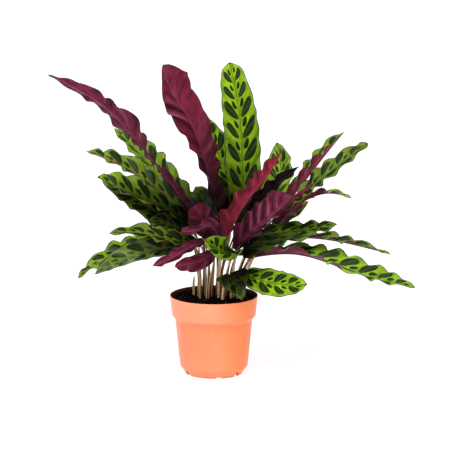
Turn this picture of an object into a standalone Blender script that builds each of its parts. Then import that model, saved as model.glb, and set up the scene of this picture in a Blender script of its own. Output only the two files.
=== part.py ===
"""Calathea with ruffled lance-shaped leaves, growing in a round nursery pot.

Units are metres, +Z is up. The origin is the middle of the pot's foot, on the ground.
+X is the plant's right and -Y its front. Lengths in the tables below are in millimetres.
"""
import math

import bpy
import numpy as np

MM = 0.001
SMOOTH_ANGLE = 40.0            # edges sharper than this stay sharp, in degrees
GAP = 0.3                      # clearance between pieces that touch

# pot
RIM_RADIUS = 70.0
RIM_HEIGHT = 126.0
BAND_FOOT_RADIUS = 66.7        # lower edge of the straight band under the rim
BAND_FOOT_HEIGHT = 94.0
LEDGE_RADIUS = 61.4            # top of the wall, under the band's ledge
LEDGE_HEIGHT = 88.0
HEEL_RADIUS = 53.8             # where the wall turns in to the foot
HEEL_HEIGHT = 12.0
FOOT_RADIUS = 46.5
FOOT_HEIGHT = 2.5
RIM_ROUNDING = 0.4
WALL = 1.5
FOOT_RING = 2.0                # width of the ring the pot stands on
FLOOR_HEIGHT = 5.0             # inner face of the floor
FLOOR_THICKNESS = 2.0
POT_SIDES = 48
TALL_NOTCH = (7.0, 8.0)        # width and height
LOW_NOTCH = (10.0, 2.0)
# Drain notches of half the foot, by direction in degrees; the other half repeats them.
NOTCHES = ((-41.0, TALL_NOTCH), (-80.0, LOW_NOTCH), (-148.0, TALL_NOTCH))
NOTCH_REACH = (6.0, 8.0)       # how far a cutter reaches inside and outside the foot

# The pot's inside from its floor to its rim: height and radius.
INSIDE = ((FLOOR_HEIGHT, FOOT_RADIUS - 0.5),
          (HEEL_HEIGHT + 1, HEEL_RADIUS - WALL),
          (LEDGE_HEIGHT + 1, LEDGE_RADIUS - WALL),
          (BAND_FOOT_HEIGHT + 1, BAND_FOOT_RADIUS - WALL),
          (RIM_HEIGHT, RIM_RADIUS - WALL))

# soil
SOIL_TOP = 121.0
SOIL_GAP = 0.5                 # clearance between the soil and the pot's wall
SOIL_SHOULDER = (4.0, 2.0)     # width and drop of the sloping edge of the soil
SOIL_SIDES = 40

# leaf stems
FOOT_SPREAD = 1.5              # offset of the stalks of one shoot from its middle
STEM_FOOT_RADIUS = 2.2
STEM_TOP_RADIUS = 1.3
STEM_TAPER = 1.5               # how soon a stalk thins on its way up
STEM_RISE = 0.45               # share of its reach that a stalk leaves upright
STEM_BEND = 0.2                # share of its reach over which it bends into the blade
STEM_SIDES = 6
STEM_STEPS = 8
SPEAR_STEPS = 12

# leaf blades
BLADE_STEP = 7.0               # distance between cross sections
BLADE_HALF_THICKNESS = 0.8
BLADE_ROOT_WIDTH = 1.6         # half width where the blade meets its stem
WIDEST = 0.48                  # share of the length at which a blade is widest
ROOT_ROUNDING = 0.6            # how full the outline is between the root and there
WAVE_LENGTH = 26.0             # ruffles along the margins
LEFT_SHIFT = 0.35              # share of a wave by which the left margin lags
FRONT = (0.0, -0.97, 0.24)     # a blade turned by 0 shows its green side this way

# Each blade: points along its midrib from root to tip, half its width, how far it is
# turned about its midrib at root and tip (degrees, 180 shows the purple underside to
# the front), how far each half is folded up, ruffle height, bluntness of the tip
# (0.5 round, 1 sharp) and where its ruffles start (share of a wave).
LEAVES = {
    "leaf_01": dict(rib=[(-25, -20, 245), (-65, -40, 310), (-105, -60, 365),
                         (-160, -90, 435), (-250, -125, 495)],
                    half=20, turn=(130, 145), fold=33, ruffle=3.5, blunt=0.8, start=0.15),
    "leaf_02": dict(rib=[(10, -10, 240), (-10, -25, 330), (-40, -55, 420), (-75, -85, 505)],
                    half=27, turn=(130, 180), fold=20, ruffle=3, blunt=0.65, start=0.3),
    "leaf_03": dict(rib=[(55, 20, 255), (45, 40, 320), (40, 60, 410), (25, 90, 485)],
                    half=29, turn=(10, 0), fold=10, ruffle=2.5, blunt=0.55, start=0.6),
    "leaf_04": dict(rib=[(40, 35, 255), (25, 50, 300), (5, 75, 345), (-15, 100, 395)],
                    half=22, turn=(0, 0), fold=12, ruffle=2.5, blunt=0.7, start=0),
    "leaf_05": dict(rib=[(-30, 10, 250), (-75, 30, 295), (-115, 55, 340), (-160, 80, 380)],
                    half=26, turn=(38, 38), fold=30, ruffle=3.5, blunt=0.75, start=0.5),
    "leaf_06": dict(rib=[(-35, -10, 260), (-80, -10, 290), (-135, -15, 330), (-200, -20, 360)],
                    half=23, turn=(55, 55), fold=30, ruffle=3.5, blunt=0.75, start=0.2),
    "leaf_07": dict(rib=[(-40, 10, 240), (-85, 15, 265), (-135, 25, 285), (-185, 30, 310)],
                    half=22, turn=(45, 45), fold=34, ruffle=3.5, blunt=0.6, start=0.7),
    "leaf_08": dict(rib=[(-45, 30, 220), (-90, 40, 250), (-140, 55, 280), (-180, 70, 300)],
                    half=18, turn=(20, 20), fold=10, ruffle=3, blunt=0.7, start=0.4),
    "leaf_09": dict(rib=[(-25, -15, 210), (-75, -40, 225), (-120, -45, 235), (-165, -50, 235)],
                    half=20, turn=(55, 55), fold=19, ruffle=3, blunt=0.8, start=0.9),
    "leaf_10": dict(rib=[(-35, 5, 225), (-65, 10, 235), (-85, 20, 240), (-105, 25, 240)],
                    half=14, turn=(20, 20), fold=12, ruffle=2, blunt=0.6, start=0.35),
    "leaf_11": dict(rib=[(-35, 5, 205), (-85, 5, 205), (-155, -15, 195), (-215, -40, 160)],
                    half=21, turn=(50, 45), fold=25, ruffle=3.5, blunt=0.85, start=0.1),
    "leaf_12": dict(rib=[(-35, -5, 205), (-85, -30, 205), (-140, -55, 195), (-185, -75, 175)],
                    half=17, turn=(5, 5), fold=10, ruffle=3, blunt=0.85, start=0.6),
    "leaf_13": dict(rib=[(-15, -40, 220), (-45, -60, 210), (-70, -85, 200), (-95, -105, 195)],
                    half=15, turn=(150, 150), fold=25, ruffle=2.5, blunt=0.7, start=0),
    "leaf_14": dict(rib=[(0, -40, 205), (-20, -65, 195), (-40, -90, 195), (-60, -110, 195)],
                    half=17, turn=(190, 190), fold=18, ruffle=2, blunt=0.6, start=0.5),
    "leaf_15": dict(rib=[(0, -20, 225), (-15, -50, 255), (-30, -80, 285)],
                    half=20, turn=(180, 180), fold=12, ruffle=1.5, blunt=0.45, start=0.2),
    "leaf_16": dict(rib=[(10, -45, 225), (-5, -60, 245), (-25, -85, 250), (-50, -110, 250)],
                    half=20, turn=(150, 150), fold=30, ruffle=2.5, blunt=0.6, start=0.4),
    "leaf_17": dict(rib=[(45, -45, 200), (15, -80, 210), (-15, -115, 240)],
                    half=24, turn=(25, 25), fold=20, ruffle=2, blunt=0.6, start=0.8),
    "leaf_18": dict(rib=[(25, -25, 220), (55, -40, 285), (85, -60, 325), (105, -85, 370)],
                    half=21, turn=(222, 222), fold=42, ruffle=3.5, blunt=0.8, start=0.55),
    "leaf_19": dict(rib=[(70, 20, 250), (90, 35, 280), (105, 50, 310), (100, 65, 360)],
                    half=19, turn=(-20, -20), fold=12, ruffle=3, blunt=0.6, start=0.3),
    "leaf_20": dict(rib=[(35, -35, 205), (60, -55, 240), (90, -80, 270), (120, -100, 305)],
                    half=22, turn=(216, 216), fold=32, ruffle=2.5, blunt=0.5, start=0.1),
    "leaf_21": dict(rib=[(100, 45, 245), (140, 65, 290), (170, 85, 325), (210, 110, 370)],
                    half=19, turn=(-78, -78), fold=46, ruffle=3, blunt=0.8, start=0.7),
    "leaf_22": dict(rib=[(110, 30, 250), (165, 40, 300), (210, 45, 335), (245, 55, 360)],
                    half=20, turn=(-57, -57), fold=17, ruffle=3, blunt=0.75, start=0.2),
    "leaf_23": dict(rib=[(55, -5, 260), (85, -10, 295), (110, -10, 315), (135, -10, 335)],
                    half=14, turn=(225, 225), fold=20, ruffle=2.5, blunt=0.8, start=0.4),
    "leaf_24": dict(rib=[(100, 10, 235), (135, -15, 275), (180, -30, 295), (215, -45, 290)],
                    half=17, turn=(215, 310), fold=25, ruffle=2.5, blunt=0.8, start=0.9),
    "leaf_25": dict(rib=[(105, -10, 255), (130, -40, 285), (145, -55, 300), (160, -65, 315)],
                    half=12, turn=(215, 215), fold=12, ruffle=1.5, blunt=0.5, start=0.6),
    "leaf_26": dict(rib=[(95, 20, 230), (115, 15, 245), (135, 10, 260), (150, 10, 275)],
                    half=13, turn=(-20, -20), fold=12, ruffle=2, blunt=0.6, start=0.1),
    "leaf_27": dict(rib=[(55, -15, 220), (100, -20, 230), (145, -20, 235), (195, -25, 245)],
                    half=21, turn=(-52, -52), fold=6, ruffle=3, blunt=0.7, start=0.5),
    "leaf_28": dict(rib=[(55, -40, 210), (135, -60, 230), (205, -75, 225), (275, -90, 210)],
                    half=19, turn=(-50, -75), fold=18, ruffle=3, blunt=0.8, start=0.3),
    "leaf_29": dict(rib=[(65, -35, 195), (135, -70, 205), (210, -95, 185), (310, -125, 165)],
                    half=27, turn=(-90, -50), fold=36, ruffle=3.5, blunt=0.8, start=0.8),
    "leaf_30": dict(rib=[(45, -25, 165), (75, -50, 160), (110, -80, 160), (145, -100, 165)],
                    half=22, turn=(-10, -10), fold=8, ruffle=2, blunt=0.6, start=0.2),
    "leaf_31": dict(rib=[(25, -30, 165), (35, -55, 155), (45, -80, 135)],
                    half=24, turn=(30, 30), fold=12, ruffle=2, blunt=0.55, start=0.7),
    "leaf_32": dict(rib=[(-5, 25, 250), (-15, 40, 270), (-30, 55, 290)],
                    half=16, turn=(10, 10), fold=10, ruffle=1.5, blunt=0.6, start=0.4),
}

# Leaves that grow from the same shoot share one stem piece; foot is where it leaves the soil.
SHOOTS = {
    "stem_01": dict(leaves=("leaf_01", "leaf_15"), foot=(-4, 8)),
    "stem_02": dict(leaves=("leaf_02", "leaf_16"), foot=(5, 16)),
    "stem_03": dict(leaves=("leaf_03", "leaf_19"), foot=(24, 28)),
    "stem_04": dict(leaves=("leaf_04", "leaf_32"), foot=(8, 34)),
    "stem_05": dict(leaves=("leaf_05",), foot=(-14, 38)),
    "stem_06": dict(leaves=("leaf_06",), foot=(-16, 25)),
    "stem_07": dict(leaves=("leaf_07", "leaf_08"), foot=(-23, 32)),
    "stem_08": dict(leaves=("leaf_09",), foot=(-13, 14)),
    "stem_09": dict(leaves=("leaf_10", "leaf_11"), foot=(-24, 17)),
    "stem_10": dict(leaves=("leaf_12",), foot=(-21, 7)),
    "stem_11": dict(leaves=("leaf_13", "leaf_14"), foot=(-9, -3)),
    "stem_12": dict(leaves=("leaf_17", "leaf_30"), foot=(28, -8)),
    "stem_13": dict(leaves=("leaf_18",), foot=(8, 0)),
    "stem_14": dict(leaves=("leaf_20",), foot=(17, -2)),
    "stem_15": dict(leaves=("leaf_21",), foot=(37, 34)),
    "stem_16": dict(leaves=("leaf_22",), foot=(44, 33)),
    "stem_17": dict(leaves=("leaf_23",), foot=(20, 13)),
    "stem_18": dict(leaves=("leaf_24",), foot=(47, 10)),
    "stem_19": dict(leaves=("leaf_25",), foot=(48, 0)),
    "stem_20": dict(leaves=("leaf_26",), foot=(42, 17)),
    "stem_21": dict(leaves=("leaf_27",), foot=(27, 14)),
    "stem_22": dict(leaves=("leaf_28",), foot=(31, 3)),
    "stem_23": dict(leaves=("leaf_29",), foot=(38, -3)),
    "stem_24": dict(leaves=("leaf_31",), foot=(14, -13)),
}

# Young growth: a rolled leaf and a short pointed shoot, each along its own line.
SPEARS = {
    "young_leaf": dict(line=[(12, 24), (14, 15, 170), (23, -5, 215), (27, -15, 246)],
                       radii=(1.8, 1.4, 3.6, 0.6)),
    "young_shoot": dict(line=[(-32, 26), (-32, 26, 132), (-32, 26, 143), (-31, 27, 151)],
                        radii=(2.4, 2.2, 1.6, 0.5)),
}


def clear_scene():
    for item in list(bpy.data.objects):
        bpy.data.objects.remove(item, do_unlink=True)


def make_material(name, colour, roughness):
    material = bpy.data.materials.new(name)
    material.use_nodes = True
    shader = material.node_tree.nodes["Principled BSDF"]
    shader.inputs["Base Color"].default_value = (*colour, 1.0)
    shader.inputs["Roughness"].default_value = roughness
    shader.inputs["Metallic"].default_value = 0.0
    return material


def make_object(name, points, faces, material, origin=(0.0, 0.0, 0.0)):
    """Make a mesh object from plant points in millimetres, with its own origin."""
    mesh = bpy.data.meshes.new(name)
    local = (np.array(points, float) - np.array(origin, float)) * MM
    mesh.from_pydata([tuple(point) for point in local], [], faces)
    mesh.validate()
    mesh.update()
    mesh.shade_smooth()
    mesh.set_sharp_from_angle(angle=math.radians(SMOOTH_ANGLE))
    item = bpy.data.objects.new(name, mesh)
    item.location = [MM * value for value in origin]
    bpy.context.scene.collection.objects.link(item)
    mesh.materials.append(material)
    return item


def unit(rows):
    return rows / np.linalg.norm(rows, axis=-1, keepdims=True)


def smooth_curve(points, count):
    """Natural cubic spline through the points: places, directions and length."""
    knots = np.array(points, float)
    spans = np.linalg.norm(np.diff(knots, axis=0), axis=1)
    marks = np.concatenate(([0.0], np.cumsum(spans)))
    last = len(knots) - 1
    system = np.eye(last + 1)
    change = np.zeros_like(knots)
    for i in range(1, last):
        system[i, i - 1:i + 2] = (spans[i - 1], 2 * (spans[i - 1] + spans[i]), spans[i])
        change[i] = 6 * ((knots[i + 1] - knots[i]) / spans[i]
                         - (knots[i] - knots[i - 1]) / spans[i - 1])
    bend = np.linalg.solve(system, change)
    place = np.linspace(0.0, marks[-1], count)
    span = np.clip(np.searchsorted(marks, place, side="right") - 1, 0, last - 1)
    h = spans[span][:, None]
    b = (place - marks[span])[:, None] / h
    a = 1 - b
    curve = (a * knots[span] + b * knots[span + 1]
             + ((a**3 - a) * bend[span] + (b**3 - b) * bend[span + 1]) * h * h / 6)
    slope = ((knots[span + 1] - knots[span]) / h
             + ((1 - 3 * a * a) * bend[span] + (3 * b * b - 1) * bend[span + 1]) * h / 6)
    return curve, unit(slope), marks[-1]


def blade_frame(leaf, count):
    """Midrib places with their along, side and up directions."""
    rib, along, length = smooth_curve(leaf["rib"], count)
    front = np.array(FRONT) - (along @ np.array(FRONT))[:, None] * along
    front = unit(front)
    cross = np.cross(along, front)
    share = np.linspace(0.0, 1.0, count)[:, None]
    turn = np.radians(leaf["turn"][0] + (leaf["turn"][1] - leaf["turn"][0]) * share)
    up = front * np.cos(turn) + cross * np.sin(turn)
    side = np.cross(along, up)
    return rib, along, side, up, length


def half_widths(leaf, share):
    """Lance outline: an arc up to the widest place, then a taper to the tip."""
    rise = np.clip((WIDEST - share) / WIDEST, 0.0, 1.0)
    fall = np.clip((share - WIDEST) / (1 - WIDEST), 0.0, 1.0)
    outline = (1 - rise**2) ** ROOT_ROUNDING * (1 - fall**2) ** leaf["blunt"]
    return np.maximum(leaf["half"] * outline, BLADE_ROOT_WIDTH)


def make_blade(name, leaf, material):
    """A thin folded blade: each cross section is a flat diamond bent at the midrib."""
    _, _, length = smooth_curve(leaf["rib"], 2)
    count = max(7, round(length / BLADE_STEP) + 1)
    rib, _, side, up, _ = blade_frame(leaf, count)
    share = np.linspace(0.0, 1.0, count)
    width = half_widths(leaf, share)[:, None]
    fold = math.radians(leaf["fold"])
    swell = np.sin(math.pi * share) ** 0.5 * leaf["ruffle"]
    points = []
    for sign, shift in ((1, 0.0), (-1, LEFT_SHIFT)):
        wave = swell * np.sin(2 * math.pi * (share * length / WAVE_LENGTH
                                             + leaf["start"] + shift))
        margin = (rib + sign * side * width * math.cos(fold)
                  + up * (width * math.sin(fold) + wave[:, None]))
        points.append(margin)
    right, left = points
    over = rib + up * BLADE_HALF_THICKNESS
    under = rib - up * BLADE_HALF_THICKNESS
    rings = np.stack([right, over, left, under], axis=1)[:-1]
    verts = [tuple(p) for p in rings.reshape(-1, 3)] + [tuple(rib[-1])]
    # Both skins of a half are split along the same diagonal, from the margin to the midrib
    # of the next section, so that they never cross where the blade is ruffled.
    faces = []
    for row in range(count - 2):
        for i in range(4):
            j = (i + 1) % 4
            a, b, c, d = 4 * row + j, 4 * row + i, 4 * row + 4 + i, 4 * row + 4 + j
            faces += [(a, b, d), (b, c, d)] if i % 2 == 0 else [(a, b, c), (a, c, d)]
    tip = len(verts) - 1
    base = 4 * (count - 2)
    for i in range(4):
        faces.append((base + (i + 1) % 4, base + i, tip))
    faces += [(0, 1, 3), (1, 2, 3)]
    return make_object(name, verts, faces, material, origin=leaf["rib"][0])


def make_stalk(name, leaf, foot, material):
    """One leaf stalk: a tapering tube that bends from upright into the blade's line."""
    _, along, _ = smooth_curve(leaf["rib"], 40)
    root = np.array(leaf["rib"][0], float)
    start = np.array([foot[0], foot[1], SOIL_TOP + GAP])
    end = root - along[0] * GAP
    reach = np.linalg.norm(end - start)
    knots = (start, start + (0, 0, STEM_RISE * reach), end - along[0] * STEM_BEND * reach, end)
    t = np.linspace(0.0, 1.0, STEM_STEPS + 1)[:, None]
    weights = ((1 - t)**3, 3 * t * (1 - t)**2, 3 * t * t * (1 - t), t**3)
    path = sum(weight * knot for weight, knot in zip(weights, knots))
    swell = (1 - t[:, 0]) ** STEM_TAPER
    radius = STEM_TOP_RADIUS + (STEM_FOOT_RADIUS - STEM_TOP_RADIUS) * swell
    return make_tube(name, path, radius, along[0], material)


def make_spear(name, spear, material):
    """A young leaf still rolled up, or a shoot, standing in the soil."""
    foot = (*spear["line"][0], SOIL_TOP + GAP)
    path, along, _ = smooth_curve([foot] + spear["line"][1:], SPEAR_STEPS)
    marks = np.linspace(0.0, 1.0, len(spear["radii"]))
    radius = np.interp(np.linspace(0.0, 1.0, SPEAR_STEPS), marks, spear["radii"])
    return make_tube(name, path, radius, along[-1], material)


def make_tube(name, path, radius, end_heading, material):
    """A closed round tube along a path, standing flat on the soil."""
    heading = unit(np.gradient(path, axis=0))
    heading[0] = (0, 0, 1)
    heading[-1] = end_heading
    side = unit(np.cross(heading, np.array(FRONT)))
    up = np.cross(side, heading)
    angle = np.arange(STEM_SIDES) * 2 * math.pi / STEM_SIDES
    spokes = (side[:, None] * np.cos(angle)[None, :, None]
              + up[:, None] * np.sin(angle)[None, :, None])
    return make_loft(name, path[:, None] + radius[:, None, None] * spokes, material)


def make_loft(name, rings, material):
    """Join equal rings of points into one closed body with flat ends."""
    rows, sides = rings.shape[:2]
    faces = [tuple(range(sides)), tuple(reversed(range((rows - 1) * sides, rows * sides)))]
    for row in range(rows - 1):
        for i in range(sides):
            j = (i + 1) % sides
            faces.append((sides * row + j, sides * row + i,
                          sides * row + sides + i, sides * row + sides + j))
    return make_object(name, rings.reshape(-1, 3), faces, material, origin=rings[0].mean(axis=0))


def lathe(name, profile, sides, material):
    """Turn a closed profile of (radius, height) about the Z axis."""
    verts = []
    rings = []
    angles = [2 * math.pi * i / sides for i in range(sides)]
    for radius, height in profile:
        if radius == 0:
            rings.append([len(verts)] * sides)
            verts.append((0.0, 0.0, height))
        else:
            rings.append(list(range(len(verts), len(verts) + sides)))
            verts += [(radius * math.cos(a), radius * math.sin(a), height) for a in angles]
    faces = []
    for row in range(len(rings) - 1):
        low, high = rings[row], rings[row + 1]
        for i in range(sides):
            j = (i + 1) % sides
            corners = [low[i], low[j], high[j], high[i]]
            face = tuple(dict.fromkeys(corners))
            faces.append(face)
    return make_object(name, verts, faces, material)


def inner_radius(height):
    """Radius of the pot's inside at a height."""
    heights, radii = zip(*INSIDE)
    return float(np.interp(height, heights, radii))


def make_pot(material):
    underside = FLOOR_HEIGHT - FLOOR_THICKNESS
    profile = [(0, underside), (FOOT_RADIUS - FOOT_RING - 1, underside),
               (FOOT_RADIUS - FOOT_RING - 0.5, 0), (FOOT_RADIUS - 0.5, 0),
               (FOOT_RADIUS, FOOT_HEIGHT), (HEEL_RADIUS, HEEL_HEIGHT),
               (LEDGE_RADIUS, LEDGE_HEIGHT), (BAND_FOOT_RADIUS, BAND_FOOT_HEIGHT),
               (RIM_RADIUS, RIM_HEIGHT - 1), (RIM_RADIUS - RIM_ROUNDING, RIM_HEIGHT)]
    profile += [(radius, height) for height, radius in reversed(INSIDE)]
    profile.append((0, FLOOR_HEIGHT))
    pot = lathe("pot", profile, POT_SIDES, material)
    for half_turn in (0, 180):
        for heading, size in NOTCHES:
            cut_notch(pot, heading + half_turn, *size)
    return pot


def cut_notch(pot, heading, width, height):
    """Drain notch: a box cut through the foot ring."""
    angle = math.radians(heading)
    inner, outer = FOOT_RADIUS - NOTCH_REACH[0], FOOT_RADIUS + NOTCH_REACH[1]
    corners = []
    for z in (-2.0, height):
        for radius, offset in ((inner, -width / 2), (outer, -width / 2),
                               (outer, width / 2), (inner, width / 2)):
            corners.append((radius * math.cos(angle) - offset * math.sin(angle),
                            radius * math.sin(angle) + offset * math.cos(angle), z))
    faces = [(3, 2, 1, 0), (4, 5, 6, 7), (0, 1, 5, 4), (1, 2, 6, 5), (2, 3, 7, 6), (3, 0, 4, 7)]
    cutter = make_object(f"cutter_{heading:g}", corners, faces, pot.data.materials[0])
    cutter.hide_render = True
    cutter.display_type = "WIRE"
    cut = pot.modifiers.new(f"notch_{heading:g}", "BOOLEAN")
    cut.operation = "DIFFERENCE"
    cut.object = cutter


def make_soil(material):
    width, drop = SOIL_SHOULDER
    bends = [height for height, _ in INSIDE[1:-1]]
    heights = [FLOOR_HEIGHT + GAP, *bends, SOIL_TOP - drop]
    profile = [(0, FLOOR_HEIGHT + GAP)]
    profile += [(inner_radius(height) - SOIL_GAP, height) for height in heights]
    profile += [(inner_radius(SOIL_TOP) - width, SOIL_TOP), (0, SOIL_TOP)]
    return lathe("soil", profile, SOIL_SIDES, material)


def make_shoot(name, shoot, material):
    """The stalks of one shoot, joined where they leave the soil."""
    foot = np.array(shoot["foot"], float)
    roots = np.array([LEAVES[leaf]["rib"][0][:2] for leaf in shoot["leaves"]], float)
    leans = roots - roots.mean(axis=0)
    stalks = []
    for leaf, lean in zip(shoot["leaves"], leans):
        place = foot + (unit(lean) * FOOT_SPREAD if lean.any() else lean)
        part = name if not stalks else f"{name}_stalk"
        stalks.append(make_stalk(part, LEAVES[leaf], place, material))
    for stalk in stalks[1:]:
        stalk.hide_render = True
        stalk.display_type = "WIRE"
        join = stalks[0].modifiers.new("join", "BOOLEAN")
        join.operation = "UNION"
        join.object = stalk


def gather(name):
    """Parent every piece to one empty at the pot's foot."""
    plant = bpy.data.objects.new(name, None)
    pieces = list(bpy.context.scene.collection.objects)
    bpy.context.scene.collection.objects.link(plant)
    for piece in pieces:
        piece.parent = plant


def main():
    clear_scene()
    green = make_material("leaf_green", (0.13, 0.30, 0.02), 0.4)
    tan = make_material("stem_tan", (0.52, 0.27, 0.15), 0.5)
    terracotta = make_material("pot_plastic", (0.95, 0.28, 0.14), 0.45)
    peat = make_material("soil_peat", (0.02, 0.012, 0.008), 0.95)
    make_pot(terracotta)
    make_soil(peat)
    for name, shoot in SHOOTS.items():
        make_shoot(name, shoot, tan)
    make_spear("young_leaf", SPEARS["young_leaf"], green)
    make_spear("young_shoot", SPEARS["young_shoot"], tan)
    for name, leaf in LEAVES.items():
        make_blade(name, leaf, green)
    gather("potted_calathea")


main()
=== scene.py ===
import math

import bpy
import numpy as np
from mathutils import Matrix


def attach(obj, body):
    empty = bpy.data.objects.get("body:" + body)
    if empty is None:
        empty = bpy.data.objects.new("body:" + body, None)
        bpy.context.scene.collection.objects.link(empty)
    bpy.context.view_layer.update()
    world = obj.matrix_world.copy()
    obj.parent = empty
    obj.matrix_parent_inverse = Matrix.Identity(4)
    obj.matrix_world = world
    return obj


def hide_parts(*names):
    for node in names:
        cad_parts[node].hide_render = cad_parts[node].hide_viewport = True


# Potted calathea: ruffled lance-shaped leaves with dark ovals, stalks, peat and a nursery pot.
# Lengths in the dictionaries are millimetres, apart from the studio's; the scene itself is in metres.
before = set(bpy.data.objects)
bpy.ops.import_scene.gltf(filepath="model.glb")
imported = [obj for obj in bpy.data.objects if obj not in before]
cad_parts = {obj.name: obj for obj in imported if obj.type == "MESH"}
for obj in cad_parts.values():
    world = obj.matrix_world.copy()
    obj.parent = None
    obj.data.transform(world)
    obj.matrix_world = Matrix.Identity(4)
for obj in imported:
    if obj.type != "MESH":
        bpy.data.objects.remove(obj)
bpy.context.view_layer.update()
mm = 0.001
tau = 2 * math.pi
frontWay = (0.0, -0.97, 0.24)      # forwards and a little up: what blades and tubes turn from


def makePiece(name, points, quads, triangles, materials, sharp=50):
    # One mesh object from points in mm; faces keep the order they are given in.
    corners = np.concatenate([quads.ravel(), triangles.ravel()]).astype(np.int32)
    counts = np.concatenate([np.full(len(quads), 4), np.full(len(triangles), 3)]).astype(np.int32)
    starts = np.concatenate([[0], np.cumsum(counts)[:-1]]).astype(np.int32)
    mesh = bpy.data.meshes.new(name)
    mesh.vertices.add(len(points))
    mesh.vertices.foreach_set("co", (points * mm).astype(np.float32).ravel())
    mesh.loops.add(len(corners))
    mesh.loops.foreach_set("vertex_index", corners)
    mesh.polygons.add(len(counts))
    mesh.polygons.foreach_set("loop_start", starts)
    mesh.polygons.foreach_set("loop_total", counts)
    mesh.update(calc_edges=True)
    mesh.validate()
    mesh.shade_smooth()
    mesh.set_sharp_from_angle(angle=math.radians(sharp))
    for material in materials:
        mesh.materials.append(material)
    piece = bpy.data.objects.new(name, mesh)
    bpy.context.scene.collection.objects.link(piece)
    return piece


def finishPiece(piece, node):
    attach(piece, "root")
    if node:
        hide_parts(node)


def signedVolume(points, quads, triangles):
    # Sum of a . (b x c) / 6 over the triangles of a closed surface; above 0 when faces point outwards.
    flat = np.concatenate([quads[:, [0, 1, 2]], quads[:, [0, 2, 3]], triangles])
    a, b, c = points[flat[:, 0]], points[flat[:, 1]], points[flat[:, 2]]
    return float(np.einsum("ij,ij->i", a, np.cross(b, c)).sum()) / 6


def loftSurface(rings, firstPole, lastPole):
    # Closed rings of equal count joined side by side, with a fan to one point at either end.
    rows, sides = rings.shape[:2]
    points = np.concatenate([rings.reshape(-1, 3), [firstPole], [lastPole]])
    ring = np.arange(sides)
    step = (ring + 1) % sides
    base = (np.arange(rows - 1) * sides)[:, None]
    quads = np.stack([base + ring, base + step, base + sides + step, base + sides + ring], axis=-1)
    quads = quads.reshape(-1, 4)
    top = (rows - 1) * sides
    low = np.stack([step, ring, np.full(sides, rows * sides)], axis=-1)
    high = np.stack([top + ring, top + step, np.full(sides, rows * sides + 1)], axis=-1)
    triangles = np.concatenate([low, high])
    if signedVolume(points, quads, triangles) < 0:
        quads, triangles = quads[:, ::-1], triangles[:, ::-1]
    return points, quads, triangles


def joinSurfaces(surfaces):
    # Several closed surfaces in one mesh: indices move on by the points before them.
    points, quads, triangles = zip(*surfaces)
    starts = np.cumsum([0] + [len(spots) for spots in points[:-1]])
    quads = [faces + start for faces, start in zip(quads, starts)]
    triangles = [faces + start for faces, start in zip(triangles, starts)]
    return np.concatenate(points), np.concatenate(quads), np.concatenate(triangles)


def gridMap(shape, *values):
    # Three values for each point of a grid; a single number or one row or column fills the grid.
    return np.stack([np.broadcast_to(value, shape) for value in values], axis=-1)


def poleValues(rings):
    # The values of a loft's points in order; each pole takes the mean of the ring beside it.
    return np.concatenate([rings.reshape(-1, 3), rings[:1].mean(axis=1), rings[-1:].mean(axis=1)])


def setAttribute(piece, name, values):
    attribute = piece.data.attributes.new(name, "FLOAT_VECTOR", "POINT")
    attribute.data.foreach_set("vector", values.astype(np.float32).ravel())


def unit(rows):
    return rows / np.maximum(np.linalg.norm(rows, axis=-1, keepdims=True), 1e-9)


def naturalSpline(knots, count):
    # Natural cubic spline by chord length: a*k0 + b*k1 + ((a^3-a)*m0 + (b^3-b)*m1)*h*h/6.
    knots = np.array(knots, float)
    spans = np.linalg.norm(np.diff(knots, axis=0), axis=1)
    marks = np.concatenate(([0.0], np.cumsum(spans)))
    last = len(knots) - 1
    system = np.eye(last + 1)
    change = np.zeros_like(knots)
    for i in range(1, last):
        system[i, i - 1:i + 2] = (spans[i - 1], 2 * (spans[i - 1] + spans[i]), spans[i])
        change[i] = 6 * ((knots[i + 1] - knots[i]) / spans[i] - (knots[i] - knots[i - 1]) / spans[i - 1])
    bend = np.linalg.solve(system, change)
    spot = np.linspace(0.0, marks[-1], count)
    span = np.clip(np.searchsorted(marks, spot, side="right") - 1, 0, last - 1)
    h = spans[span][:, None]
    b = (spot - marks[span])[:, None] / h
    a = 1 - b
    curve = (a * knots[span] + b * knots[span + 1]
             + ((a**3 - a) * bend[span] + (b**3 - b) * bend[span + 1]) * h * h / 6)
    slope = ((knots[span + 1] - knots[span]) / h
             + ((1 - 3 * a * a) * bend[span] + (3 * b * b - 1) * bend[span + 1]) * h / 6)
    return curve, unit(slope), marks[-1]


def tubeRings(path, radius, sides, shape=1.0):
    # Rings across a path: place + radius * shape(angle) * (side cos angle + up sin angle).
    heading = unit(np.gradient(path, axis=0))
    side = unit(np.cross(heading, np.array(frontWay)))
    up = np.cross(side, heading)
    angle = np.arange(sides) * tau / sides
    size = (radius[:, None] * (np.ones((len(path), sides)) * shape))[..., None]
    return path[:, None] + size * (side[:, None] * np.cos(angle)[None, :, None]
                                   + up[:, None] * np.sin(angle)[None, :, None])


def makeTubes(name, tubes, material, node):
    # One piece from closed tubes, each given as its rings, its two end points and its maps.
    surfaces = [loftSurface(rings, low, high) for rings, low, high, maps in tubes]
    piece = makePiece(name, *joinSurfaces(surfaces), [material])
    for key in tubes[0][3]:
        setAttribute(piece, key, np.concatenate([poleValues(maps[key]) for *_, maps in tubes]))
    finishPiece(piece, node)


def startMaterial(name, **values):
    material = bpy.data.materials.new(name)
    material.use_nodes = True
    shader = material.node_tree.nodes["Principled BSDF"]
    for socket, value in values.items():
        shader.inputs[socket.replace("_", " ")].default_value = value
    return material, material.node_tree, shader


def fill(tree, socket, value):
    # A link from another node's output, or a plain value.
    if isinstance(value, bpy.types.NodeSocket):
        tree.links.new(value, socket)
    else:
        socket.default_value = value


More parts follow.
